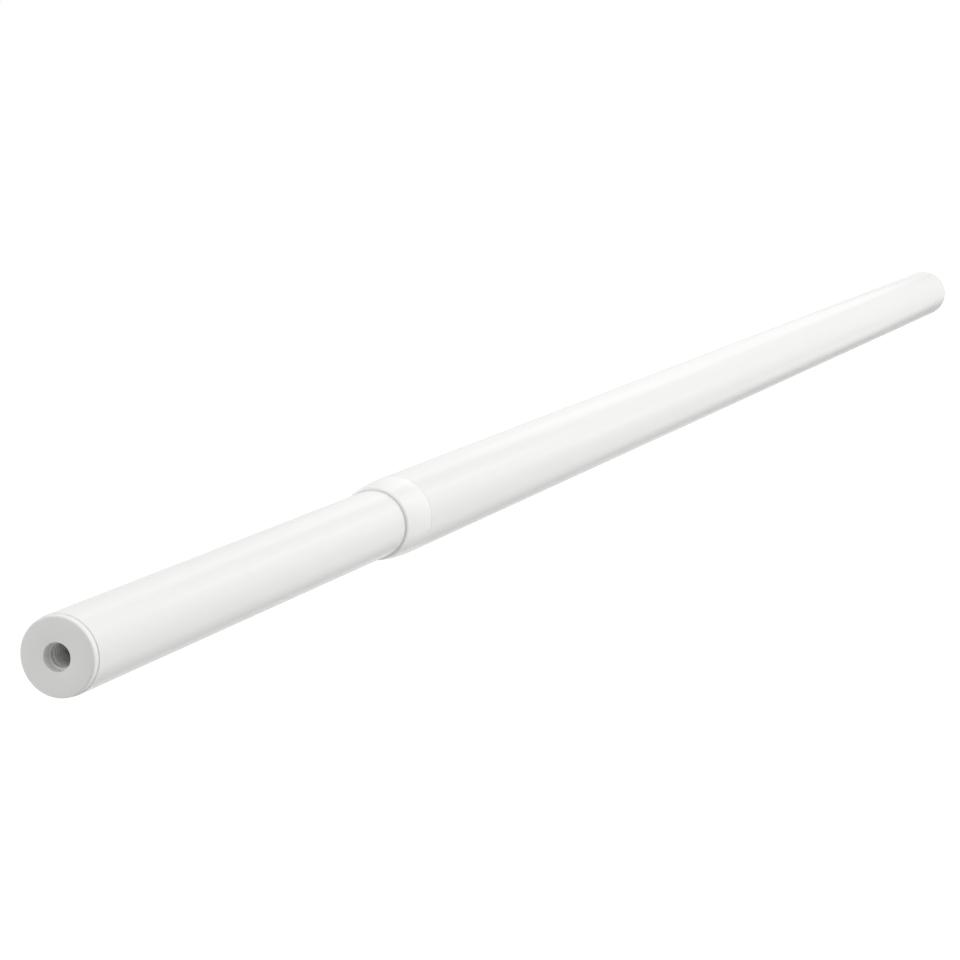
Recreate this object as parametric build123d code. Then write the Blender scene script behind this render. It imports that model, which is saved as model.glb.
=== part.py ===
from build123d import *
import os

# Telescopic curtain rod, in millimetres.
# A thin steel tube slides and turns inside a thick one. A moulded collar closes the thick tube's mouth
# and guides the thin tube, a sprung bush steadies its hidden end, and a threaded plug in each outer end
# takes a finial.
# The rod lies along X, with its thin end towards -X, and Z is up.
# The origin is on the rod's axis, half way along the thick tube.

# Tubes
INNER_DIAMETER = 17.0       # outside of the thin tube
INNER_WALL = 0.7
INNER_LENGTH = 666.0
TUBE_GAP = 0.8              # all round, between the thin tube and the thick tube's bore
OUTER_WALL = 0.7
OUTER_LENGTH = 648.0
BARE_LENGTH = 158.2         # thin tube showing between its plug's flange and the collar
TUBE_EDGE = 0.3             # bevel of a tube's outer edge

# Rolled bead that keeps the tail bush in the thin tube
BEAD_SETBACK = 7.0          # from the tube's hidden end to the middle of the bead
BEAD_WIDTH = 2.4
BEAD_DEPTH = 0.45

# Collar on the thick tube's mouth
COLLAR_HEAD = 14.0          # length that shows
COLLAR_SLEEVE = 26.0        # length inside the thick tube
COLLAR_LIP = 0.5            # wall at the thin front edge
COLLAR_FRONT_EDGE = 0.35    # bevel of the front edge
COLLAR_REAR_EDGE = 0.15     # bevel of the rear edge, which is flush with the thick tube
COLLAR_LEAD = 0.6           # taper at the sleeve's hidden end, along the axis
GUIDE_GAP = 0.12            # all round the thin tube in the collar
SLIT_COUNT = 4              # slits that let the sleeve spring as it is pushed in
SLIT_WIDTH = 1.6
SLIT_LENGTH = 15.0

# End plugs
PLUG_FLANGE = 1.8           # thickness of the flange that seats on the tube's end
PLUG_FLANGE_INSET = 0.2     # how far the flange stays inside the tube's outside
PLUG_FLANGE_EDGE = 0.45     # bevel round the flange's face
PLUG_SPIGOT = 18.0          # length inside the tube
PLUG_LEAD = 2.0             # taper at the spigot's hidden end, along the axis
PLUG_LEAD_DROP = 0.5        # how much the taper takes off the radius
PLUG_CORE_GAP = 0.45        # between the spigot's wall and the tube's bore
PLUG_WALL = 1.3             # wall of the spigot
RECESS_WIDTH = 1.2          # ring-shaped recess that keeps the moulding's walls even
RECESS_DEPTH = 15.0
RIB_COUNT = 6               # crush ribs along the spigot
RIB_WIDTH = 1.4
SEAT_GAP = 0.05             # all round a pushed-in piece

# Finial thread, drawn as a plain hole of its nominal size
THREAD_DIAMETER = 6.0
THREAD_CHAMFER = 0.15       # bevel round the hole's rim

# Tail bush
BUSH_SPIGOT = 14.0          # length inside the thin tube
BUSH_HEAD = 12.0            # length behind the thin tube
BUSH_FLANGE = 2.0           # thickness of the shoulder at the tube's end
BUSH_LEAD = 2.0             # taper at the spigot's tip, along the axis
BUSH_WALL = 1.4
BUSH_HEAD_GAP = 0.35        # between the head and the thick tube's bore
BUSH_RUN_GAP = 0.08         # between the finger pads and the thick tube's bore
TURN_GAP = 0.08             # all round the spigot in the thin tube
END_PLAY = 0.2              # along the axis, between the bush and the thin tube
FINGER_COUNT = 4
FINGER_SLIT = 1.2           # width of the slits beside the fingers
FINGER_WIDTH = 6.0
PAD_LENGTH = 2.4            # pad at each finger's tip, along the axis

# Radii and places worked out from the sizes above
INNER_RADIUS = INNER_DIAMETER / 2
INNER_BORE = INNER_RADIUS - INNER_WALL
OUTER_BORE = INNER_RADIUS + TUBE_GAP
OUTER_RADIUS = OUTER_BORE + OUTER_WALL
GUIDE_RADIUS = INNER_RADIUS + GUIDE_GAP
OUTER_START = -OUTER_LENGTH / 2
OUTER_END = OUTER_LENGTH / 2
COLLAR_FRONT = OUTER_START - COLLAR_HEAD
INNER_START = COLLAR_FRONT - BARE_LENGTH
INNER_END = INNER_START + INNER_LENGTH
OVERCUT = 1.0               # how far a cutting solid runs past the face that it cuts


def turned(outline, bevelled=()):
    """The solid that a closed outline of (x, radius) edges sweeps about the rod's axis.

    Each of bevelled is an outline corner, as (x, radius), and the size of its bevel.
    """
    face = make_face(outline)
    for corner, size in bevelled:
        face = chamfer(face.vertices().sort_by_distance(corner)[0], size)
    return revolve(face, Axis.X)


def around_axis(piece, count):
    """Copies of a piece, evenly spaced about the rod's axis."""
    return [Rot(index * 360.0 / count, 0, 0) * piece for index in range(count)]


def bar(start, end, width, low, high):
    """A bar along X between two radii on the +Z side, with its width along Y."""
    middle = Pos((start + end) / 2, 0, (low + high) / 2)
    return middle * Box(end - start, width, high - low)


def outer_tube():
    """The thick tube, with its outer edges broken."""
    outline = Polyline(
        (OUTER_START, OUTER_BORE),
        (OUTER_START, OUTER_RADIUS),
        (OUTER_END, OUTER_RADIUS),
        (OUTER_END, OUTER_BORE),
        close=True,
    )
    edges = [((OUTER_START, OUTER_RADIUS), TUBE_EDGE), ((OUTER_END, OUTER_RADIUS), TUBE_EDGE)]
    return turned(outline, edges)


def inner_tube():
    """The thin tube, with a bead rolled in near its hidden end to hold the tail bush."""
    bead = INNER_END - BEAD_SETBACK
    half = BEAD_WIDTH / 2
    outline = Polyline(
        (INNER_START, INNER_BORE),
        (INNER_START, INNER_RADIUS),
        (bead - half, INNER_RADIUS),
        (bead, INNER_RADIUS - BEAD_DEPTH),
        (bead + half, INNER_RADIUS),
        (INNER_END, INNER_RADIUS),
        (INNER_END, INNER_BORE),
        (bead + half, INNER_BORE),
        (bead, INNER_BORE - BEAD_DEPTH),
        (bead - half, INNER_BORE),
        close=True,
    )
    edges = [((INNER_START, INNER_RADIUS), TUBE_EDGE), ((INNER_END, INNER_RADIUS), TUBE_EDGE)]
    return turned(outline, edges)


def collar():
    """The reducing collar: a convex taper that shows, and a slit sleeve inside the thick tube's mouth."""
    front = GUIDE_RADIUS + COLLAR_LIP
    sleeve = OUTER_BORE - SEAT_GAP
    sleeve_end = OUTER_START + COLLAR_SLEEVE
    tip = (sleeve + GUIDE_RADIUS) / 2
    # The taper is an arc that runs level where it meets the rear edge.
    taper = TangentArc((OUTER_START, OUTER_RADIUS), (COLLAR_FRONT, front), tangent=(-1, 0))
    outline = [
        taper,
        Line((COLLAR_FRONT, front), (COLLAR_FRONT, GUIDE_RADIUS)),
        Line((COLLAR_FRONT, GUIDE_RADIUS), (sleeve_end, GUIDE_RADIUS)),
        Line((sleeve_end, GUIDE_RADIUS), (sleeve_end, tip)),
        Line((sleeve_end, tip), (sleeve_end - COLLAR_LEAD, sleeve)),
        Line((sleeve_end - COLLAR_LEAD, sleeve), (OUTER_START, sleeve)),
        Line((OUTER_START, sleeve), (OUTER_START, OUTER_RADIUS)),
    ]
    edges = [((COLLAR_FRONT, front), COLLAR_FRONT_EDGE), ((OUTER_START, OUTER_RADIUS), COLLAR_REAR_EDGE)]
    solid = turned(outline, edges)
    slit = bar(sleeve_end - SLIT_LENGTH, sleeve_end + OVERCUT, SLIT_WIDTH, 0, OUTER_RADIUS)
    return solid - around_axis(slit, SLIT_COUNT)


def end_plug(tube_radius, tube_bore):
    """A plug for a tube that starts at X = 0: flange on the tube's end, ribbed spigot and finial hole."""
    flange = tube_radius - PLUG_FLANGE_INSET
    core = tube_bore - PLUG_CORE_GAP
    tip = core - PLUG_LEAD_DROP
    rib = tube_bore - SEAT_GAP
    thread = THREAD_DIAMETER / 2
    face = -PLUG_FLANGE
    taper = PLUG_SPIGOT - PLUG_LEAD
    recess_end = PLUG_SPIGOT - RECESS_DEPTH
    recess = core - PLUG_WALL
    boss = recess - RECESS_WIDTH
    outline = Polyline(
        (face, thread + THREAD_CHAMFER),
        (face, flange),
        (0, flange),
        (0, core),
        (taper, core),
        (PLUG_SPIGOT, tip),
        (PLUG_SPIGOT, recess),
        (recess_end, recess),
        (recess_end, boss),
        (PLUG_SPIGOT, boss),
        (PLUG_SPIGOT, thread),
        (face + THREAD_CHAMFER, thread),
        close=True,
    )
    solid = turned(outline, [((face, flange), PLUG_FLANGE_EDGE)])
    rib_band = turned(Polyline((0, recess), (0, rib), (taper, rib), (taper, recess), close=True))
    ribs = around_axis(bar(0, taper, RIB_WIDTH, 0, tube_radius), RIB_COUNT)
    return solid + [rib_band & one for one in ribs]


def inner_end_plug():
    """The plug in the thin tube's outer end."""
    return Pos(INNER_START, 0, 0) * end_plug(INNER_RADIUS, INNER_BORE)


def outer_end_plug():
    """The plug in the thick tube's outer end, turned round to face +X."""
    return Pos(OUTER_END, 0, 0) * Rot(0, 0, 180) * end_plug(OUTER_RADIUS, OUTER_BORE)


def tail_bush():
    """The guide bush: a grooved spigot that the thin tube turns on, and a head with sprung fingers."""
    shoulder = INNER_END + END_PLAY
    finger_start = shoulder + BUSH_FLANGE
    spigot_start = INNER_END - BUSH_SPIGOT
    head_end = shoulder + BUSH_HEAD
    pad_start = head_end - PAD_LENGTH
    pad_middle = (pad_start + head_end) / 2
    bead = INNER_END - BEAD_SETBACK
    half = BEAD_WIDTH / 2 + END_PLAY
    spigot = INNER_BORE - TURN_GAP
    groove = spigot - BEAD_DEPTH - TURN_GAP
    hollow = groove - BUSH_WALL
    head = OUTER_BORE - BUSH_HEAD_GAP
    finger = head - BUSH_WALL
    pad = OUTER_BORE - BUSH_RUN_GAP
    outline = Polyline(
        (spigot_start, hollow),
        (spigot_start, groove),
        (spigot_start + BUSH_LEAD, spigot),
        (bead - half, spigot),
        (bead - half, groove),
        (bead + half, groove),
        (bead + half, spigot),
        (shoulder, spigot),
        (shoulder, head),
        (head_end, head),
        (head_end, finger),
        (finger_start, finger),
        (finger_start, hollow),
        close=True,
    )
    solid = turned(outline)
    slit_offset = (FINGER_WIDTH + FINGER_SLIT) / 2
    slit = bar(finger_start, head_end + OVERCUT, FINGER_SLIT, 0, OUTER_RADIUS)
    for side in (-slit_offset, slit_offset):
        solid -= around_axis(Pos(0, side, 0) * slit, FINGER_COUNT)
    pad_outline = Polyline(
        (pad_start, finger),
        (pad_start, head),
        (pad_middle, pad),
        (head_end, pad),
        (head_end, finger),
        close=True,
    )
    pad_band = turned(pad_outline)
    fingers = around_axis(bar(pad_start, head_end, FINGER_WIDTH, 0, OUTER_RADIUS), FINGER_COUNT)
    return solid + [pad_band & one for one in fingers]


PIECES = {
    "outer_tube": outer_tube,
    "inner_tube": inner_tube,
    "collar": collar,
    "inner_end_plug": inner_end_plug,
    "outer_end_plug": outer_end_plug,
    "tail_bush": tail_bush,
}

os.makedirs("parts", exist_ok=True)
for name, make in PIECES.items():
    export_step(make(), f"parts/{name}.step")
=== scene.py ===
"""Dresses the telescopic curtain rod: coated tubes, white mouldings, finial threads and soft studio light.

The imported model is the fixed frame. Its tubes, collar and end plugs are modelled again here at the same
sizes and places, with fine round walls and soft edges. The tail bush, hidden in the thick tube, keeps its
own mesh. Sizes are in millimetres and the scene is in metres.
"""
import logging
import math
from collections.abc import Iterable, Sequence
from dataclasses import dataclass
from enum import Enum

import bmesh
import bpy
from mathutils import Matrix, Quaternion, Vector


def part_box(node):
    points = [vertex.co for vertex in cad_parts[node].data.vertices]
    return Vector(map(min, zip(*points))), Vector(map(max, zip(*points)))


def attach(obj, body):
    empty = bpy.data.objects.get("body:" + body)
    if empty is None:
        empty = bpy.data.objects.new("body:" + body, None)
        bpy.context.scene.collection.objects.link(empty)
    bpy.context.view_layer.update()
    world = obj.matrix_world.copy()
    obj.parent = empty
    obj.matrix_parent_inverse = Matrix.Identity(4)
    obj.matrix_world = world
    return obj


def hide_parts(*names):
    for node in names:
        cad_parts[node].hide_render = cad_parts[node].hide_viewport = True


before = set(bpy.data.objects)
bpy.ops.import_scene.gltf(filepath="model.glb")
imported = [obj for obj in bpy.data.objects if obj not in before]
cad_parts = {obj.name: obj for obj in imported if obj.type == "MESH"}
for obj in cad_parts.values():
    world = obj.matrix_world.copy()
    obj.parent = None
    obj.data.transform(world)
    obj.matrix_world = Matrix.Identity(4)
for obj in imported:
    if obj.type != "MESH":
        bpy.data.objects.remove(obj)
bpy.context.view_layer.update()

LOG = logging.getLogger("curtain_rod")
WHITE = "#FFFFFF"
MM = 0.001                      # one millimetre in the scene's metres
FACES_ROUND = 192               # faces round a turned piece
SAME_PLACE = 0.004              # how near a vertex lies to a named place to count as on it
MERGED = 0.0001                 # how near two vertices lie to be merged
ROUND_PROFILE = 0.5             # the bevel profile that is part of a circle
SMOOTH_ANGLE = math.radians(35)
OVERCUT = 1.0                   # how far a cutter runs past the face that it cuts

SocketValue = bpy.types.NodeSocket | float | Sequence[float]


class Body(Enum):
    """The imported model's bodies that the new pieces move with."""

    OUTER = "outer"
    INNER = "inner"


class Slot(Enum):
    """The record's material slots."""

    POWDER_COAT = "white_powder_coat"
    MOULDING = "white_moulding"


class Facing(Enum):
    """Which way along the rod an end plug's face looks."""

    THIN_END = -1
    THICK_END = 1


@dataclass(frozen=True)
class Ring:
    """A circle about the rod's axis, in millimetres."""

    x: float
    radius: float


@dataclass(frozen=True)
class Extent:
    """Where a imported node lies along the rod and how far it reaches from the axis, in millimetres."""

    start: float
    end: float
    radius: float

    @classmethod
    def of(cls, node: str) -> "Extent":
        """Reads a node's extent from the frame."""
        low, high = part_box(node)
        return cls(low.x / MM, high.x / MM, max(high.y, high.z) / MM)


def linear(code: str) -> tuple[float, float, float, float]:
    """Turns an sRGB hex colour into linear red, green, blue and alpha.

    Args:
        code: the colour, such as "#F0F0EE".

    Returns:
        The linear colour, with an alpha of 1.
    """
    shares = [int(code[place:place + 2], 16) / 255 for place in (1, 3, 5)]
    # The numbers are those of the sRGB standard
    red, green, blue = (
        share / 12.92 if share <= 0.04045 else ((share + 0.055) / 1.055) ** 2.4
        for share in shares
    )
    return red, green, blue, 1.0


def add_node(
    tree: bpy.types.NodeTree, kind: str, inputs: dict[str | int, SocketValue], **fields: str,
) -> bpy.types.Node:
    """Adds a shader node, sets its fields and fills its inputs.

    Args:
        tree: the node tree that takes the node.
        kind: Blender's name for the kind of node.
        inputs: a value, or the output socket to link, for each input by name or number.
        fields: the node's own settings.

    Returns:
        The new node.
    """
    node = tree.nodes.new(kind)
    for name, value in fields.items():
        setattr(node, name, value)
    for name, value in inputs.items():
        if isinstance(value, bpy.types.NodeSocket):
            tree.links.new(value, node.inputs[name])
        else:
            node.inputs[name].default_value = value
    return node


def new_material(name: str) -> bpy.types.Material:
    """Makes a node material that has no nodes yet.

    Args:
        name: the material and how its surface was made.

    Returns:
        The empty material.
    """
    material = bpy.data.materials.new(name)
    material.use_nodes = True
    material.node_tree.nodes.clear()
    return material


@dataclass(frozen=True)
class PaleFinish:
    """A pale surface with a fine skin: how it was made shows as small waves and patches of gloss.

    Attributes:
        name: the material and the process that made its surface.
        colour: sRGB hex of the surface.
        shade: sRGB hex of its slightly darker patches.
        patch_mm: width of those patches.
        roughness: gloss of the smoothest and the dullest patches.
        skin_mm: width of one wave or grain of the skin.
        skin_height_mm: height of that wave or grain.
        ior: index of refraction.
    """

    name: str
    colour: str
    shade: str
    patch_mm: float
    roughness: tuple[float, float]
    skin_mm: float
    skin_height_mm: float
    ior: float

    PATCH_DETAIL = 2.0              # octaves in the patches' noise
    PATCH_ROUGHNESS = 0.5           # strength of each octave beside the one before
    PATCH_SPAN = (0.3, 0.7)         # where nearly all of that noise lies
    SKIN_DETAIL = 1.0               # octaves in the skin's noise
    SKIN_ROUGHNESS = 0.4            # strength of each octave beside the one before

    def material(self) -> bpy.types.Material:
        """Makes the material, or returns the one made before.

        Returns:
            A node material that reads Object coordinates only.
        """
        made = bpy.data.materials.get(self.name)
        if made:
            return made
        made = new_material(self.name)
        tree = made.node_tree
        place = add_node(tree, "ShaderNodeTexCoord", {}).outputs["Object"]
        patches = add_node(
            tree, "ShaderNodeTexNoise",
            {"Vector": place, "Scale": 1 / (self.patch_mm * MM),
             "Detail": self.PATCH_DETAIL, "Roughness": self.PATCH_ROUGHNESS},
        ).outputs["Fac"]
        colour = add_node(
            tree, "ShaderNodeMix",
            {"Factor": patches, "A": linear(self.colour), "B": linear(self.shade)},
            data_type="RGBA",
        )
        gloss = add_node(
            tree, "ShaderNodeMapRange",
            {"Value": patches, "From Min": self.PATCH_SPAN[0], "From Max": self.PATCH_SPAN[1],
             "To Min": self.roughness[0], "To Max": self.roughness[1]},
        ).outputs["Result"]
        skin = add_node(
            tree, "ShaderNodeTexNoise",
            {"Vector": place, "Scale": 1 / (self.skin_mm * MM),
             "Detail": self.SKIN_DETAIL, "Roughness": self.SKIN_ROUGHNESS},
        ).outputs["Fac"]
        bump = add_node(
            tree, "ShaderNodeBump",
            {"Height": skin, "Strength": 1.0, "Distance": self.skin_height_mm * MM},
        ).outputs["Normal"]
        shader = add_node(
            tree, "ShaderNodeBsdfPrincipled",
            {"Base Color": colour.outputs[2], "Roughness": gloss, "Normal": bump, "IOR": self.ior},
        )
        add_node(tree, "ShaderNodeOutputMaterial", {"Surface": shader.outputs["BSDF"]})
        return made


# Polyester powder melts into a hard semi-gloss skin with a faint orange peel, so light runs along a tube
# in soft-edged streaks that waver a little.
POWDER_COAT = PaleFinish(
    name="polyester powder coat on steel, semi-gloss",
    colour="#EEEFEC", shade="#EDEEEB", patch_mm=5.0, roughness=(0.19, 0.21),
    skin_mm=2.2, skin_height_mm=0.001, ior=1.5,
)
# Injection-moulded ABS copies a finely spark-eroded mould. The real grain is near 0.05 mm and is drawn
# coarser here, so that it still breaks up the light a little.
MOULDED_ABS = PaleFinish(
    name="white ABS, injection moulded satin",
    colour="#EFEFED", shade="#EDEDEB", patch_mm=6.0, roughness=(0.28, 0.34),
    skin_mm=0.35, skin_height_mm=0.0015, ior=1.53,
)
# The collar's mould is polished, so its plastic shines and looks a little whiter than the coated steel
# beside it.
POLISHED_ABS = PaleFinish(
    name="white ABS, injection moulded gloss",
    colour="#F2F2F0", shade="#F1F1EF", patch_mm=6.0, roughness=(0.18, 0.2),
    skin_mm=0.9, skin_height_mm=0.001, ior=1.53,
)
# Unpigmented acetal is milky and a little waxy.
NATURAL_ACETAL = PaleFinish(
    name="natural acetal, injection moulded",
    colour="#E3E2DA", shade="#DDDBD1", patch_mm=5.0, roughness=(0.3, 0.38),
    skin_mm=0.5, skin_height_mm=0.0015, ior=1.48,
)


def deselect_all() -> None:
    """Leaves object mode with nothing selected."""
    if bpy.context.object and bpy.context.object.mode != "OBJECT":
        bpy.ops.object.mode_set(mode="OBJECT")
    bpy.ops.object.select_all(action="DESELECT")


def make_active(piece: bpy.types.Object) -> None:
    """Selects one object alone and makes it the active one.

    Args:
        piece: the object.
    """
    deselect_all()
    piece.select_set(True)
    bpy.context.view_layer.objects.active = piece


def settle(piece: bpy.types.Object) -> None:
    """Moves an object's place, turn and scale into its mesh."""
    make_active(piece)
    bpy.ops.object.transform_apply(location=True, rotation=True, scale=True)


def start_edit(piece: bpy.types.Object, mode: str) -> None:
    """Opens a mesh in edit mode with nothing selected.

    Args:
        piece: the object to edit.
        mode: what is picked: "VERT", "EDGE" or "FACE".
    """
    make_active(piece)
    bpy.ops.object.mode_set(mode="EDIT")
    bpy.ops.mesh.select_mode(type=mode)
    bpy.ops.mesh.select_all(action="DESELECT")


def pick_rings(piece: bpy.types.Object, rings: Iterable[Ring]) -> None:
    """Selects the edges that lie on the given rings, in edit mode.

    Args:
        piece: the object in edit mode.
        rings: the circles about the rod's axis whose edges are wanted.
    """
    wanted = list(rings)
    mesh = bmesh.from_edit_mesh(piece.data)

    def lies_on(vertex: bmesh.types.BMVert, ring: Ring) -> bool:
        """Tells whether a vertex lies on a ring."""
        radius = math.hypot(vertex.co.y, vertex.co.z) / MM
        return abs(vertex.co.x / MM - ring.x) < SAME_PLACE and abs(radius - ring.radius) < SAME_PLACE

    for edge in mesh.edges:
        if any(lies_on(edge.verts[0], ring) and lies_on(edge.verts[1], ring) for ring in wanted):
            edge.select_set(True)
    bmesh.update_edit_mesh(piece.data)


class Lathe:
    """Models one round piece about the rod's axis, ring by ring, by extruding and scaling its edges."""

    def __init__(self, name: str, first: Ring) -> None:
        """Starts the piece with its first ring.

        Args:
            name: the piece's name.
            first: the ring to start from.
        """
        deselect_all()
        bpy.ops.mesh.primitive_circle_add(
            vertices=FACES_ROUND, radius=first.radius * MM, fill_type="NOTHING",
            location=(first.x * MM, 0, 0), rotation=(0, math.pi / 2, 0),
        )
        self.piece = bpy.context.active_object
        self.piece.name = name
        self.piece.data.name = name
        settle(self.piece)
        start_edit(self.piece, "EDGE")
        bpy.ops.mesh.select_all(action="SELECT")
        self.first = first
        self.last = first

    def draw(self, rings: Iterable[Ring]) -> None:
        """Draws the wall on through more rings.

        Args:
            rings: the rings, in order.
        """
        for ring in rings:
            move = ((ring.x - self.last.x) * MM, 0, 0)
            bpy.ops.mesh.extrude_region_move(TRANSFORM_OT_translate={"value": move})
            share = ring.radius / self.last.radius
            if not math.isclose(share, 1):
                bpy.ops.transform.resize(value=(1, share, share), center_override=(ring.x * MM, 0, 0))
            self.last = ring

    def close(self) -> None:
        """Joins the last ring to the first, so that the piece is a closed body."""
        bpy.ops.mesh.select_all(action="DESELECT")
        pick_rings(self.piece, (self.first, self.last))
        bpy.ops.mesh.bridge_edge_loops()
        bpy.ops.mesh.select_all(action="SELECT")
        bpy.ops.mesh.remove_doubles(threshold=MERGED * MM)
        bpy.ops.mesh.normals_make_consistent(inside=False)

    def soften(self, rings: Iterable[Ring], radius: float, steps: int) -> None:
        """Rounds the edges on some rings.

        Args:
            rings: the rings whose edges are rounded.
            radius: how far the rounding reaches from the edge.
            steps: faces across the rounding.
        """
        bpy.ops.mesh.select_all(action="DESELECT")
        pick_rings(self.piece, rings)
        bpy.ops.mesh.bevel(offset=radius * MM, segments=steps, profile=ROUND_PROFILE, affect="EDGES")

    def done(self) -> bpy.types.Object:
        """Ends editing and returns the piece."""
        bpy.ops.object.mode_set(mode="OBJECT")
        return self.piece


def add_bar(name: str, start: float, end: float, width: float, low: float, high: float) -> bpy.types.Object:
    """Adds a square bar along the rod, above its axis, with its width across.

    Args:
        name: the bar's name.
        start: where the bar starts along the rod.
        end: where it ends.
        width: its width across the rod.
        low: height of its underside over the axis.
        high: height of its top over the axis.

    Returns:
        The bar, with its place in its mesh.
    """
    deselect_all()
    bpy.ops.mesh.primitive_cube_add(size=MM, location=((start + end) / 2 * MM, 0, (low + high) / 2 * MM))
    bar = bpy.context.active_object
    bar.name = name
    bar.scale = (end - start, width, high - low)
    settle(bar)
    return bar


def copies_round(piece: bpy.types.Object, count: int) -> bpy.types.Object:
    """Copies a piece evenly about the rod's axis and joins the copies to it.

    Args:
        piece: the piece to copy, which takes the copies in.
        count: how many there are in all.

    Returns:
        The joined piece.
    """
    copies = []
    for number in range(1, count):
        copy = piece.copy()
        copy.data = piece.data.copy()
        bpy.context.scene.collection.objects.link(copy)
        copy.rotation_euler = (math.tau * number / count, 0, 0)
        settle(copy)
        copies.append(copy)
    make_active(piece)
    for copy in copies:
        copy.select_set(True)
    bpy.ops.object.join()
    return piece


def combine(piece: bpy.types.Object, tool: bpy.types.Object, operation: str) -> None:
    """Cuts a tool out of a piece or fuses it on, and removes the tool.

    Args:
        piece: the piece that changes.
        tool: the other mesh.
        operation: "DIFFERENCE" or "UNION".
    """
    make_active(piece)
    change = piece.modifiers.new(operation.lower(), "BOOLEAN")
    change.operation = operation
    change.solver = "EXACT"
    change.object = tool
    bpy.ops.object.modifier_apply(modifier=change.name)
    bpy.data.objects.remove(tool)


def dress(
    piece: bpy.types.Object, finish: PaleFinish, body: Body, stands_for: str | None,
) -> None:
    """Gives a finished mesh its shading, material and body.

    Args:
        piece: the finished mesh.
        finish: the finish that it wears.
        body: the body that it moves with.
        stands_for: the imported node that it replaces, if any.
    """
    make_active(piece)
    bpy.ops.object.shade_smooth_by_angle(angle=SMOOTH_ANGLE)
    piece.data.materials.clear()
    piece.data.materials.append(finish.material())
    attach(piece, body.value)
    if stands_for:
        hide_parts(stands_for)


@dataclass
class SteelTube:
    """A welded steel tube, with rolled-over edges and, where asked, a bead rolled in near its +X end.

    Attributes:
        node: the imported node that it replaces.
        body: the body that it moves with.
        wall: thickness of the steel.
        edge: rounding of the outer edges.
        burr: rounding of the bore's edges.
        bead_setback: from the tube's +X end to the middle of the bead, or None for a plain tube.
        bead_width: the bead's width along the tube.
        bead_depth: how deep it is pressed.
    """

    node: str
    body: Body
    wall: float = 0.7
    edge: float = 0.3
    burr: float = 0.08
    bead_setback: float | None = None
    bead_width: float = 2.4
    bead_depth: float = 0.45

    BEAD_STEPS = 8
    EDGE_STEPS = 6
    BURR_STEPS = 2

    def bead(self, middle: float, radius: float) -> list[Ring]:
        """Works out the rings of the bead on one wall, towards +X.

        Args:
            middle: where the bead's middle is along the rod.
            radius: the wall's radius beside the bead.

        Returns:
            Rings along one smooth wave of the bead's depth.
        """
        shares = [step / self.BEAD_STEPS for step in range(self.BEAD_STEPS + 1)]
        return [
            Ring(middle + (share - 0.5) * self.bead_width,
                 radius - self.bead_depth * (1 - math.cos(math.tau * share)) / 2)
            for share in shares
        ]

    def build(self) -> bpy.types.Object:
        """Models the tube and dresses it.

        Returns:
            The finished piece.
        """
        extent = Extent.of(self.node)
        bore = extent.radius - self.wall
        outside: list[Ring] = []
        inside: list[Ring] = []
        if self.bead_setback is not None:
            middle = extent.end - self.bead_setback
            outside = self.bead(middle, extent.radius)
            inside = self.bead(middle, bore)[::-1]
        lathe = Lathe(f"{self.node}_coated", Ring(extent.start, extent.radius))
        lathe.draw([*outside, Ring(extent.end, extent.radius), Ring(extent.end, bore), *inside])
        lathe.draw([Ring(extent.start, bore)])
        lathe.close()
        edges = [Ring(extent.start, extent.radius), Ring(extent.end, extent.radius)]
        lathe.soften(edges, self.edge, self.EDGE_STEPS)
        lathe.soften([Ring(extent.start, bore), Ring(extent.end, bore)], self.burr, self.BURR_STEPS)
        piece = lathe.done()
        dress(piece, POWDER_COAT, self.body, self.node)
        return piece


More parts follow.
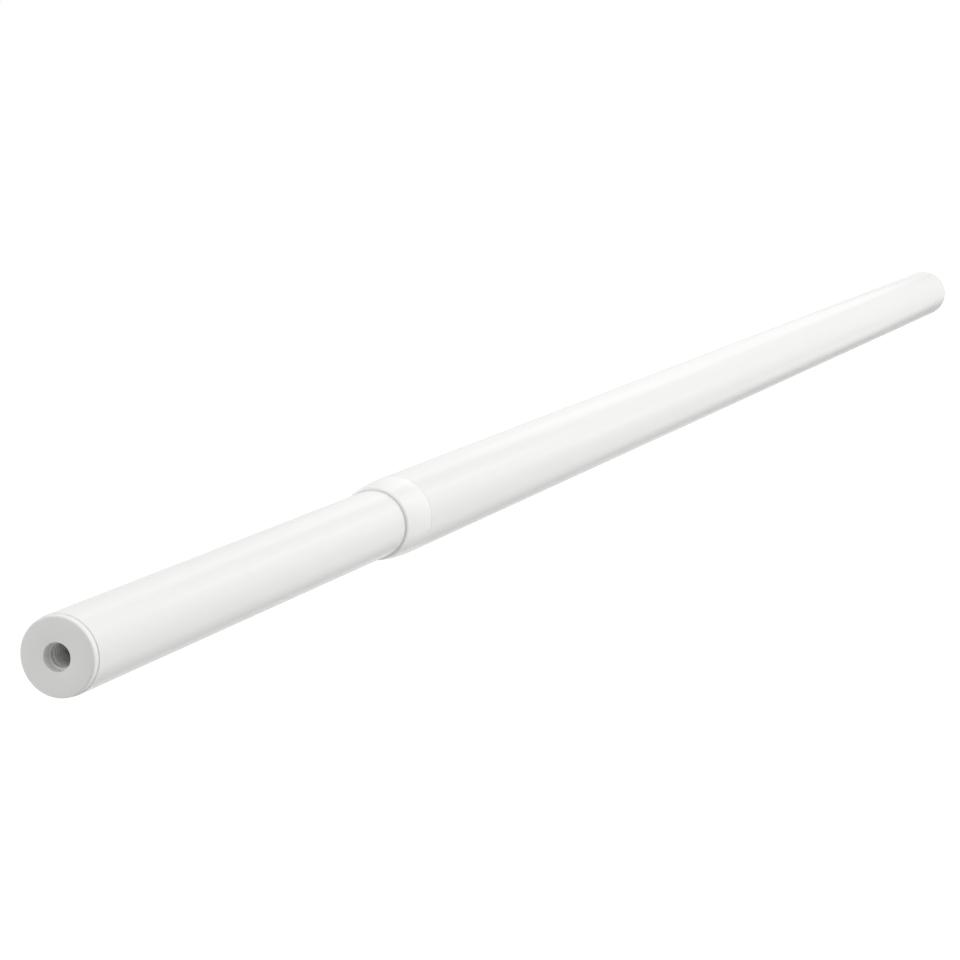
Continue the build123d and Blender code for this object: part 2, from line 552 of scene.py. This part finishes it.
@dataclass
class ReducingCollar:
    """The moulded collar on the thick tube's mouth: a convex head that shows and a slit sleeve inside.

    Attributes:
        node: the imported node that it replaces.
        guide_gap: all round the thin tube.
        lip: wall at the thin front edge.
        nose: length of the drawn-out rounding of the front edge, which takes the whole lip.
        wiper: length of the fine lip at the bore's front that wipes the thin tube.
        wiper_taper: length of the taper behind that lip.
        wiper_gap: between that lip and the thin tube.
        wiper_edge: rounding of its front edge.
        rear_edge: rounding of the rear edge, which is flush with the thick tube.
        seat_gap: between the sleeve and the thick tube's bore.
        lead: taper at the sleeve's hidden end, along the axis.
        slit_count: slits that let the sleeve spring.
        slit_width: their width.
        slit_length: their length.
    """

    node: str = "collar"
    guide_gap: float = 0.12
    lip: float = 0.5
    nose: float = 1.0
    wiper: float = 0.5
    wiper_taper: float = 0.5
    wiper_gap: float = 0.01
    wiper_edge: float = 0.02
    rear_edge: float = 0.15
    seat_gap: float = 0.05
    lead: float = 0.6
    slit_count: int = 4
    slit_width: float = 1.6
    slit_length: float = 15.0

    TAPER_STEPS = 20
    NOSE_STEPS = 10
    WIPER_STEPS = 2
    REAR_STEPS = 4

    def taper(self, rear: Ring, front: Ring) -> list[Ring]:
        """Works out the rings of the convex head, from just ahead of its rear edge to the foot of its nose.

        Args:
            rear: the wide rear ring, where the arc runs level.
            front: the ring where the arc would meet the front face.

        Returns:
            Rings along one arc, then along a quarter of an ellipse.
        """
        length = rear.x - front.x
        drop = rear.radius - front.radius
        arc_radius = (length ** 2 + drop ** 2) / (2 * drop)
        sweep = math.asin((length - self.nose) / arc_radius)
        arc = [
            Ring(rear.x - arc_radius * math.sin(angle), rear.radius - arc_radius * (1 - math.cos(angle)))
            for angle in (sweep * step / self.TAPER_STEPS for step in range(1, self.TAPER_STEPS + 1))
        ]
        foot = front.radius - self.lip
        height = arc[-1].radius - foot
        quarter = [math.pi / 2 * step / self.NOSE_STEPS for step in range(1, self.NOSE_STEPS + 1)]
        nose = [
            Ring(front.x + self.nose * (1 - math.sin(angle)), foot + height * math.cos(angle))
            for angle in quarter
        ]
        return arc + nose

    def build(self, thin: SteelTube, thick: SteelTube) -> bpy.types.Object:
        """Models the collar and dresses it.

        Args:
            thin: the tube that the collar guides.
            thick: the tube that the collar sits in.

        Returns:
            The finished piece.
        """
        extent = Extent.of(self.node)
        mouth = Extent.of(thick.node)
        guide = Extent.of(thin.node).radius + self.guide_gap
        wiper = Extent.of(thin.node).radius + self.wiper_gap
        sleeve = mouth.radius - thick.wall - self.seat_gap
        rear = Ring(mouth.start, mouth.radius)
        front = Ring(extent.start, guide + self.lip)
        lathe = Lathe("collar_moulded", rear)
        lathe.draw(self.taper(rear, front))
        lathe.draw([
            Ring(extent.start, wiper),
            Ring(extent.start + self.wiper, wiper),
            Ring(extent.start + self.wiper + self.wiper_taper, guide),
            Ring(extent.end, guide),
            Ring(extent.end, (guide + sleeve) / 2),
            Ring(extent.end - self.lead, sleeve),
            Ring(mouth.start, sleeve),
        ])
        lathe.close()
        lathe.soften([Ring(extent.start, wiper)], self.wiper_edge, self.WIPER_STEPS)
        lathe.soften([rear], self.rear_edge, self.REAR_STEPS)
        piece = lathe.done()
        slit = add_bar(
            "slit", extent.end - self.slit_length, extent.end + OVERCUT,
            self.slit_width, guide / 2, mouth.radius,
        )
        combine(piece, copies_round(slit, self.slit_count), "DIFFERENCE")
        dress(piece, POLISHED_ABS, Body.OUTER, self.node)
        return piece


@dataclass
class FinialThread:
    """The coarse metric thread in a plug's hole: a plain mouth, a land, then a ridge that fades in and out.

    Attributes:
        mouth: depth of the plain mouth ahead of the land.
        land: length of the land that the ridge starts from.
        land_radius: radius of its bore.
        land_edge: rounding of that bore's edges.
        pitch: from one turn to the next.
        wall: radius of the plain hole that the ridge stands on.
        crest: radius of the ridge's inner edge.
        crest_flat: width of the flat on that edge.
        root: share of the pitch that the ridge's foot takes.
        sunk: how far the foot is sunk into the wall.
        fade: turns over which the ridge rises from the wall.
    """

    mouth: float = 2.2
    land: float = 0.5
    land_radius: float = 2.6
    land_edge: float = 0.12
    pitch: float = 1.0
    wall: float = 3.0
    crest: float = 2.55
    crest_flat: float = 0.18
    root: float = 0.8
    sunk: float = 0.03
    fade: float = 0.4

    STEPS_ROUND = 64
    LAND_STEPS = 3
    TOOTH_CORNERS = 4

    @property
    def foot(self) -> float:
        """Radius of the ridge's foot, which is sunk into the wall."""
        return self.wall + self.sunk

    def build(self, name: str, outer_end: float, inner_end: float, body: Body) -> bpy.types.Object:
        """Models the land and the ridge as one piece and dresses it.

        Args:
            name: the piece's name.
            outer_end: where the plain mouth ends along the rod.
            inner_end: where the hole ends.
            body: the body that it moves with.

        Returns:
            The finished piece.
        """
        land_end = outer_end + math.copysign(self.land, inner_end - outer_end)
        land = self.build_land(outer_end, land_end)
        ridge = self.build_ridge(name, min(land_end, inner_end), abs(inner_end - land_end))
        make_active(ridge)
        land.select_set(True)
        bpy.ops.object.join()
        dress(ridge, MOULDED_ABS, body, None)
        return ridge

    def build_land(self, start: float, end: float) -> bpy.types.Object:
        """Models the narrow ring at the foot of the mouth, where the thread starts.

        Args:
            start: its face that looks out of the hole.
            end: its other face.

        Returns:
            The ring.
        """
        corners = [Ring(start, self.land_radius), Ring(end, self.land_radius)]
        lathe = Lathe("land", Ring(start, self.foot))
        lathe.draw([*corners, Ring(end, self.foot)])
        lathe.close()
        lathe.soften(corners, self.land_edge, self.LAND_STEPS)
        return lathe.done()

    def build_ridge(self, name: str, start: float, length: float) -> bpy.types.Object:
        """Models the helical ridge.

        Args:
            name: the ridge's name.
            start: the threaded wall's end that is nearer to -X.
            length: length of that wall.

        Returns:
            The ridge.
        """
        turns = int(length / self.pitch) - 1
        first = start + (length - turns * self.pitch) / 2
        deselect_all()
        bpy.ops.mesh.primitive_plane_add(
            size=MM, location=(first * MM, 0, (self.foot + self.crest) / 2 * MM),
            rotation=(math.pi / 2, 0, 0),
        )
        ridge = bpy.context.active_object
        ridge.name = name
        ridge.data.name = name
        ridge.scale = (self.root * self.pitch, self.foot - self.crest, 1)
        settle(ridge)
        self.narrow_crest(ridge, first)
        sweep = ridge.modifiers.new("turns", "SCREW")
        sweep.axis = "X"
        sweep.angle = math.tau
        sweep.screw_offset = self.pitch * MM
        sweep.iterations = turns
        sweep.steps = self.STEPS_ROUND
        sweep.render_steps = self.STEPS_ROUND
        bpy.ops.object.modifier_apply(modifier=sweep.name)
        self.close_ends(ridge)
        self.fade_ends(ridge, first, turns)
        return ridge

    def narrow_crest(self, ridge: bpy.types.Object, first: float) -> None:
        """Scales the tooth's inner edge down to the crest's flat.

        Args:
            ridge: the tooth's outline, before it is swept.
            first: where the outline's middle is along the rod.
        """
        start_edit(ridge, "VERT")
        mesh = bmesh.from_edit_mesh(ridge.data)
        for vertex in mesh.verts:
            vertex.select_set(abs(vertex.co.z / MM - self.crest) < SAME_PLACE)
        bmesh.update_edit_mesh(ridge.data)
        share = self.crest_flat / (self.root * self.pitch)
        bpy.ops.transform.resize(value=(share, 1, 1), center_override=(first * MM, 0, self.crest * MM))
        bpy.ops.object.mode_set(mode="OBJECT")

    def close_ends(self, ridge: bpy.types.Object) -> None:
        """Caps the ridge's two open ends and turns its faces outwards.

        Args:
            ridge: the swept ridge.
        """
        start_edit(ridge, "VERT")
        bpy.ops.mesh.select_all(action="SELECT")
        bpy.ops.mesh.fill_holes(sides=self.TOOTH_CORNERS)
        bpy.ops.mesh.select_all(action="SELECT")
        bpy.ops.mesh.normals_make_consistent(inside=False)
        bpy.ops.object.mode_set(mode="OBJECT")

    def fade_ends(self, ridge: bpy.types.Object, first: float, turns: int) -> None:
        """Lets the ridge rise out of the wall at its start and sink back at its end.

        Args:
            ridge: the swept ridge.
            first: where the sweep starts along the rod.
            turns: turns in the sweep.
        """
        low = self.wall + self.sunk / 2
        for vertex in ridge.data.vertices:
            radius = math.hypot(vertex.co.y, vertex.co.z) / MM
            if radius > self.wall:
                continue
            turn = (vertex.co.x / MM - first) / self.pitch
            height = min(1.0, max(0.0, min(turn, turns - turn) / self.fade))
            share = (low - height * (low - radius)) / radius
            vertex.co.y *= share
            vertex.co.z *= share


@dataclass
class EndPlug:
    """A moulded plug in a tube's end: flange, ribbed spigot and a threaded hole for a finial.

    Attributes:
        node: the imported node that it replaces.
        tube: the tube that it closes.
        facing: which way its face looks.
        flange: thickness of the flange that seats on the tube's end.
        face_edge: rounding round the flange's face.
        back_edge: rounding of the flange's other edge.
        lead: taper at the spigot's hidden end, along the axis.
        lead_drop: how much that taper takes off the radius.
        core_gap: between the spigot's wall and the tube's bore.
        spigot_wall: wall of the spigot.
        recess_width: width of the ring-shaped recess in its hidden end.
        recess_depth: depth of that recess.
        rib_count: crush ribs along the spigot.
        rib_width: their width.
        rib_edge: rounding of their top edges.
        seat_gap: between a rib and the tube's bore.
        rim_edge: rounding of the hole's rim.
    """

    node: str
    tube: SteelTube
    facing: Facing
    flange: float = 1.8
    face_edge: float = 0.45
    back_edge: float = 0.1
    lead: float = 2.0
    lead_drop: float = 0.5
    core_gap: float = 0.45
    spigot_wall: float = 1.3
    recess_width: float = 1.2
    recess_depth: float = 15.0
    rib_count: int = 6
    rib_width: float = 1.4
    rib_edge: float = 0.12
    seat_gap: float = 0.05
    rim_edge: float = 0.15

    FACE_STEPS = 6
    BACK_STEPS = 3
    RIM_STEPS = 4
    RIB_STEPS = 2

    def ring(self, depth: float, radius: float) -> Ring:
        """Places a ring by its depth behind the plug's face.

        Args:
            depth: how far behind the face it lies.
            radius: its radius.

        Returns:
            The ring.
        """
        extent = Extent.of(self.node)
        face = extent.start if self.facing is Facing.THIN_END else extent.end
        return Ring(face - self.facing.value * depth, radius)

    def build(self, thread: FinialThread) -> list[bpy.types.Object]:
        """Models the plug and its thread and dresses them.

        Args:
            thread: the thread in its hole.

        Returns:
            The plug and the thread's ridge.
        """
        extent = Extent.of(self.node)
        length = extent.end - extent.start
        bore = Extent.of(self.tube.node).radius - self.tube.wall
        core = bore - self.core_gap
        recess = core - self.spigot_wall
        boss = recess - self.recess_width
        front = self.ring(0, extent.radius)
        back = self.ring(self.flange, extent.radius)
        rim = self.ring(0, thread.wall)
        lathe = Lathe(f"{self.node}_moulded", front)
        lathe.draw([
            back,
            self.ring(self.flange, core),
            self.ring(length - self.lead, core),
            self.ring(length, core - self.lead_drop),
            self.ring(length, recess),
            self.ring(length - self.recess_depth, recess),
            self.ring(length - self.recess_depth, boss),
            self.ring(length, boss),
            self.ring(length, thread.wall),
            rim,
        ])
        lathe.close()
        lathe.soften([front], self.face_edge, self.FACE_STEPS)
        lathe.soften([back], self.back_edge, self.BACK_STEPS)
        lathe.soften([rim], self.rim_edge, self.RIM_STEPS)
        piece = lathe.done()
        ribs = self.ribs(self.flange, length - self.lead, bore - self.seat_gap, recess)
        combine(piece, ribs, "UNION")
        dress(piece, MOULDED_ABS, self.tube.body, self.node)
        outer_end = self.ring(thread.mouth, thread.wall).x
        inner_end = self.ring(length, thread.wall).x
        ridge = thread.build(f"{self.node}_thread", outer_end, inner_end, self.tube.body)
        return [piece, ridge]

    def ribs(self, start: float, end: float, top: float, recess: float) -> bpy.types.Object:
        """Models the crush ribs as one mesh, with their top edges rounded.

        Args:
            start: depth behind the face where the ribs start.
            end: depth where they end.
            top: radius of their tops.
            recess: radius of the recess inside the spigot, which they stay clear of.

        Returns:
            The ribs.
        """
        near, far = sorted((self.ring(start, top).x, self.ring(end, top).x))
        foot = (recess + top) / 2
        rib = add_bar("rib", near, far, self.rib_width, foot, top)
        start_edit(rib, "EDGE")
        mesh = bmesh.from_edit_mesh(rib.data)
        for edge in mesh.edges:
            edge.select_set(all(abs(vertex.co.z / MM - top) < SAME_PLACE for vertex in edge.verts))
        bmesh.update_edit_mesh(rib.data)
        bpy.ops.mesh.bevel(
            offset=self.rib_edge * MM, segments=self.RIB_STEPS, profile=ROUND_PROFILE, affect="EDGES",
        )
        bpy.ops.object.mode_set(mode="OBJECT")
        return copies_round(rib, self.rib_count)


@dataclass
class TailBush:
    """The sprung bush at the thin tube's hidden end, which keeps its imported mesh."""

    node: str = "tail_bush"

    def build(self) -> bpy.types.Object:
        """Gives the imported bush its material.

        Returns:
            The bush.
        """
        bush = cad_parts[self.node]
        for slot in bush.material_slots:
            slot.material = NATURAL_ACETAL.material()
        return bush


@dataclass
class PhotoCamera:
    """The camera at the photograph's viewing angle, in metres and degrees.

    Attributes:
        from_mouth: where it stands, counted from the middle of the thick tube's mouth.
        down: how far it looks below the horizon.
        heading: where it looks, turned about Z from +Y.
        lens_mm: focal length on the sensor below.
        sensor_mm: width of the sensor.
        nearest: how near a thing may stand and still show.
    """

    from_mouth: tuple[float, float, float] = (-0.64777, -0.26624, 0.12100)
    down: float = 9.088
    heading: float = -69.4145
    lens_mm: float = 105.53
    sensor_mm: float = 36.0
    nearest: float = 0.01

    def build(self, mouth: float) -> None:
        """Adds the camera and makes it the scene's own.

        Args:
            mouth: where the thick tube's mouth is along the rod, in millimetres.
        """
        deselect_all()
        turn = (math.radians(90 - self.down), 0, math.radians(self.heading))
        place = Vector(self.from_mouth) + Vector((mouth * MM, 0, 0))
        bpy.ops.object.camera_add(location=place, rotation=turn)
        camera = bpy.context.active_object
        camera.data.lens = self.lens_mm
        camera.data.sensor_width = self.sensor_mm
        camera.data.clip_start = self.nearest
        bpy.context.scene.camera = camera


@dataclass
class SoftPanel:
    """A soft rectangular studio lamp that looks at the frame's origin.

    Attributes:
        name: the lamp's name.
        place: where it hangs, in metres.
        size: its width and height, in metres.
        roll: how far it is turned about its own axis, in degrees.
        glow: how much it adds to the white behind it, where 1 is white.
    """

    name: str
    place: tuple[float, float, float]
    size: tuple[float, float]
    roll: float
    glow: float

    def build(self) -> None:
        """Adds the lamp, out of the camera's sight."""
        deselect_all()
        look = -Vector(self.place)
        turn = look.to_track_quat("-Z", "Y") @ Quaternion((0, 0, 1), math.radians(self.roll))
        bpy.ops.object.light_add(type="AREA", location=self.place, rotation=turn.to_euler())
        lamp = bpy.context.active_object
        lamp.name = self.name
        lamp.data.shape = "RECTANGLE"
        lamp.data.size, lamp.data.size_y = self.size
        # A flat lamp's power is its brightness times pi times its area
        lamp.data.energy = self.glow * math.pi * self.size[0] * self.size[1]
        lamp.visible_camera = False


@dataclass
class Studio:
    """A pale floor well below the rod, a white surround, soft panels and a card under the rod with painted
    shade that only reflections show.

    Attributes:
        floor_z: height of the floor, in metres.
        floor_radius: how far it reaches.
        floor_colour: sRGB hex of the floor.
        floor_return: share of light that the floor throws back.
        floor_shade: that share on the camera's side, painted shade that darkens the light the floor throws
            back there.
        shade_span: from where to where that painted shade fades, in metres from the middle towards the far
            side.
        floor_lift: light that the floor adds where the camera looks at it, so that it shows as white.
        mirror_white: brightness of the surround in reflections, where 1 is white.
        gap_white: the same in the gap between the left and the right panels.
        gap_side: the direction of that gap.
        gap_span: from where to where the gap fades in, as cosines of the angle to its direction.
        tent_level: brightness of the surround as light.
        tent_slope: how that brightness grows along each axis.
        tent_dip: how much darker the surround is behind the camera.
        dip_power: how fast that dip fades away from its middle.
        camera_side: the direction of that dip.
        card_colours: sRGB hex of the card along its dark line of painted shade, seen in reflection, and at
            its edges.
        card_line: share of the card's width where its dark line runs.
        card_depth: power that deepens the dark line at the near and at the far end of its fade.
        card_drift: how far the dark line drifts towards +Y over the same fade, in metres.
        card_fade: where that fade starts and ends along the rod, in metres.
        card_size: the card's length and width, in metres.
        card_place: the card's middle, in metres.
    """

    floor_z: float = -0.5
    floor_radius: float = 8.0
    floor_colour: str = "#E6E6E4"
    floor_return: float = 0.77
    floor_shade: float = 0.21
    shade_span: tuple[float, float] = (-1.1, -0.65)
    floor_lift: float = 0.3
    mirror_white: float = 0.89
    gap_white: float = 0.58
    gap_side: tuple[float, float, float] = (0.851, -0.11, 0.513)
    gap_span: tuple[float, float] = (0.989, 0.9985)
    tent_level: float = 2.035
    tent_slope: tuple[float, float, float] = (-0.77, -0.96, -0.88)
    tent_dip: float = 2.95
    dip_power: float = 2.0
    camera_side: tuple[float, float, float] = (-0.808, -0.58, 0.104)
    card_colours: tuple[str, str] = ("#A8A8A8", WHITE)
    card_line: float = 0.65
    card_depth: tuple[float, float] = (1.06, 1.4)
    card_drift: float = 0.026
    card_fade: tuple[float, float] = (0.0, 0.45)
    card_size: tuple[float, float] = (2.2, 0.097)
    card_place: tuple[float, float, float] = (0.5, -0.0265, -0.06)
    panels: Sequence[SoftPanel] = (
        SoftPanel("back_left_panel", (2.6, 0.64, 0.78), (1.1, 1.15), 25.0, 0.21),
        SoftPanel("mid_left_panel", (2.6, 0.2, 1.25), (0.75, 0.5), 10.0, 0.36),
        SoftPanel("high_left_panel", (2.6, 0.25, 2.02), (0.7, 0.75), 45.0, 0.22),
        SoftPanel("back_right_strip", (2.6, -1.22, 0.42), (0.45, 0.7), 48.5, 0.34),
        SoftPanel("high_right_strip", (2.6, -1.33, 1.25), (0.45, 0.8), 48.5, 0.5),
    )

    FLOOR_CORNERS = 96

    def build(self) -> None:
        """Sets up the floor, the surround, the card and the lamps."""
        self.build_floor()
        self.build_surround()
        self.build_card()
        for panel in self.panels:
            panel.build()

    @staticmethod
    def looked_at(tree: bpy.types.NodeTree) -> bpy.types.NodeSocket:
        """Adds nodes that tell rays of sight, straight, mirrored or through glass, from rays of light.

        Args:
            tree: the node tree that takes them.

        Returns:
            A socket that is 1 for a ray of sight and 0 for a ray of light.
        """
        path = add_node(tree, "ShaderNodeLightPath", {})
        straight_or_mirrored = add_node(
            tree, "ShaderNodeMath",
            {0: path.outputs["Is Camera Ray"], 1: path.outputs["Is Glossy Ray"]},
            operation="MAXIMUM",
        ).outputs[0]
        return add_node(
            tree, "ShaderNodeMath",
            {0: straight_or_mirrored, 1: path.outputs["Is Transmission Ray"]},
            operation="MAXIMUM",
        ).outputs[0]

    def build_floor(self) -> None:
        """Adds the floor, which takes the rod's shadow and shows as white around it."""
        deselect_all()
        bpy.ops.mesh.primitive_circle_add(
            vertices=self.FLOOR_CORNERS, radius=self.floor_radius, fill_type="NGON",
            location=(0, 0, self.floor_z),
        )
        floor = bpy.context.active_object
        floor.name = "floor"
        paper = new_material("white seamless paper")
        tree = paper.node_tree
        looked_at = self.looked_at(tree)
        place = add_node(tree, "ShaderNodeTexCoord", {}).outputs["Object"]
        # Painted shade: for rays of light the floor's colour darkens towards the camera's side; the camera
        # sees it plain.
        away = add_node(
            tree, "ShaderNodeVectorMath", {0: place, 1: [-share for share in self.camera_side]},
            operation="DOT_PRODUCT",
        ).outputs["Value"]
        shade = add_node(
            tree, "ShaderNodeMapRange",
            {"Value": away, "From Min": self.shade_span[0], "From Max": self.shade_span[1],
             "To Min": self.floor_shade, "To Max": self.floor_return},
            interpolation_type="SMOOTHSTEP",
        ).outputs["Result"]
        colour = add_node(
            tree, "ShaderNodeMix", {"Factor": looked_at, "A": shade, "B": linear(self.floor_colour)},
            data_type="RGBA",
        )
        lit = add_node(tree, "ShaderNodeBsdfDiffuse", {"Color": colour.outputs[2]})
        in_view = add_node(tree, "ShaderNodeLightPath", {}).outputs["Is Camera Ray"]
        lift = add_node(tree, "ShaderNodeMath", {0: in_view, 1: self.floor_lift}, operation="MULTIPLY")
        glow = add_node(tree, "ShaderNodeEmission", {"Strength": lift.outputs[0]})
        both = add_node(tree, "ShaderNodeAddShader", {0: lit.outputs[0], 1: glow.outputs[0]})
        add_node(tree, "ShaderNodeOutputMaterial", {"Surface": both.outputs[0]})
        floor.data.materials.append(paper)

    def build_surround(self) -> None:
        """Makes the world: white where it is looked at, a sloping light tent for the light that it gives."""
        world = bpy.data.worlds.new("light tent")
        bpy.context.scene.world = world
        world.use_nodes = True
        tree = world.node_tree
        tree.nodes.clear()
        direction = add_node(tree, "ShaderNodeTexCoord", {}).outputs["Generated"]
        slope = add_node(
            tree, "ShaderNodeVectorMath", {0: direction, 1: self.tent_slope}, operation="DOT_PRODUCT",
        )
        level = add_node(
            tree, "ShaderNodeMath", {0: slope.outputs["Value"], 1: self.tent_level}, operation="ADD",
        )
        towards = add_node(
            tree, "ShaderNodeVectorMath", {0: direction, 1: self.camera_side}, operation="DOT_PRODUCT",
        )
        front = add_node(tree, "ShaderNodeMath", {0: towards.outputs["Value"], 1: 0.0}, operation="MAXIMUM")
        lobe = add_node(
            tree, "ShaderNodeMath", {0: front.outputs[0], 1: self.dip_power}, operation="POWER",
        )
        dipped = add_node(
            tree, "ShaderNodeMath", {0: lobe.outputs[0], 1: -self.tent_dip, 2: level.outputs[0]},
            operation="MULTIPLY_ADD",
        )
        strength = add_node(tree, "ShaderNodeMath", {0: dipped.outputs[0], 1: 0.0}, operation="MAXIMUM")
        tent = add_node(
            tree, "ShaderNodeBackground", {"Color": linear(WHITE), "Strength": strength.outputs[0]},
        )
        square_on = add_node(
            tree, "ShaderNodeVectorMath", {0: direction, 1: self.gap_side}, operation="DOT_PRODUCT",
        )
        backdrop = add_node(
            tree, "ShaderNodeMapRange",
            {"Value": square_on.outputs["Value"], "From Min": self.gap_span[0], "From Max": self.gap_span[1],
             "To Min": self.mirror_white, "To Max": self.gap_white},
            interpolation_type="SMOOTHSTEP",
        )
        mirrored = add_node(tree, "ShaderNodeLightPath", {}).outputs["Is Glossy Ray"]
        whiteness = add_node(
            tree, "ShaderNodeMapRange",
            {"Value": mirrored, "To Min": 1.0, "To Max": backdrop.outputs["Result"]},
        )
        white = add_node(
            tree, "ShaderNodeBackground", {"Color": linear(WHITE), "Strength": whiteness.outputs["Result"]},
        )
        mixed = add_node(
            tree, "ShaderNodeMixShader", {0: self.looked_at(tree), 1: tent.outputs[0], 2: white.outputs[0]},
        )
        add_node(tree, "ShaderNodeOutputWorld", {"Surface": mixed.outputs[0]})

    def build_card(self) -> None:
        """Lays a card below the rod, seen by reflection alone, whose painted shade shows as a painted
        reflection: the dark line on the rod's underside.
        """
        deselect_all()
        bpy.ops.mesh.primitive_plane_add(size=1, location=self.card_place)
        card = bpy.context.active_object
        card.name = "painted_shade_card"
        card.scale = (*self.card_size, 1)
        settle(card)
        # The card's grey is painted shade that stands in for the shade below the rod; only reflections see
        # it.
        painted_shade_material = new_material("card with painted shade seen only in reflection")
        tree = painted_shade_material.node_tree
        place = add_node(tree, "ShaderNodeTexCoord", {}).outputs["Object"]
        axes = add_node(tree, "ShaderNodeSeparateXYZ", {0: place}).outputs
        faded = add_node(
            tree, "ShaderNodeMapRange",
            {"Value": axes["X"], "From Min": self.card_fade[0], "From Max": self.card_fade[1]},
        ).outputs["Result"]
        across = add_node(
            tree, "ShaderNodeMath", {0: faded, 1: -self.card_drift, 2: axes["Y"]},
            operation="MULTIPLY_ADD",
        ).outputs[0]
        edge = self.card_place[1] - self.card_size[1] / 2
        share = add_node(
            tree, "ShaderNodeMapRange",
            {"Value": across, "From Min": edge, "From Max": edge + self.card_size[1]},
        ).outputs["Result"]
        # Painted shade: a dark line across the card, light at its edges, which the rod's underside reflects.
        painted_shade_ramp = add_node(tree, "ShaderNodeValToRGB", {"Fac": share})
        dark, light = (linear(code) for code in self.card_colours)
        ramp = painted_shade_ramp.color_ramp
        ramp.interpolation = "EASE"
        ramp.elements[0].color = light
        ramp.elements[1].color = light
        ramp.elements.new(self.card_line).color = dark
        depth = add_node(
            tree, "ShaderNodeMapRange",
            {"Value": faded, "To Min": self.card_depth[0], "To Max": self.card_depth[1]},
        ).outputs["Result"]
        deepened = add_node(tree, "ShaderNodeGamma", {"Color": painted_shade_ramp.outputs["Color"], "Gamma": depth})
        lit = add_node(tree, "ShaderNodeBsdfDiffuse", {"Color": deepened.outputs["Color"]})
        add_node(tree, "ShaderNodeOutputMaterial", {"Surface": lit.outputs[0]})
        card.data.materials.append(painted_shade_material)
        card.visible_camera = False
        card.visible_shadow = False
        card.visible_diffuse = False


def main() -> None:
    """Builds the rod's pieces in order, reports each, then sets up the camera and the studio."""
    logging.basicConfig(level=logging.INFO, format="%(name)s: %(message)s")
    bpy.context.scene.view_settings.view_transform = "Standard"
    thick = SteelTube("outer_tube", Body.OUTER)
    thin = SteelTube("inner_tube", Body.INNER, bead_setback=7.0)
    thread = FinialThread()
    pieces = [
        thick.build(),
        thin.build(),
        ReducingCollar().build(thin, thick),
        *EndPlug("inner_end_plug", thin, Facing.THIN_END).build(thread),
        *EndPlug("outer_end_plug", thick, Facing.THICK_END).build(thread),
        TailBush().build(),
    ]
    for piece in pieces:
        LOG.info("%s: %d faces of %s", piece.name, len(piece.data.polygons), piece.active_material.name)
    PhotoCamera().build(Extent.of(thick.node).start)
    Studio().build()


if __name__ == "__main__":
    main()
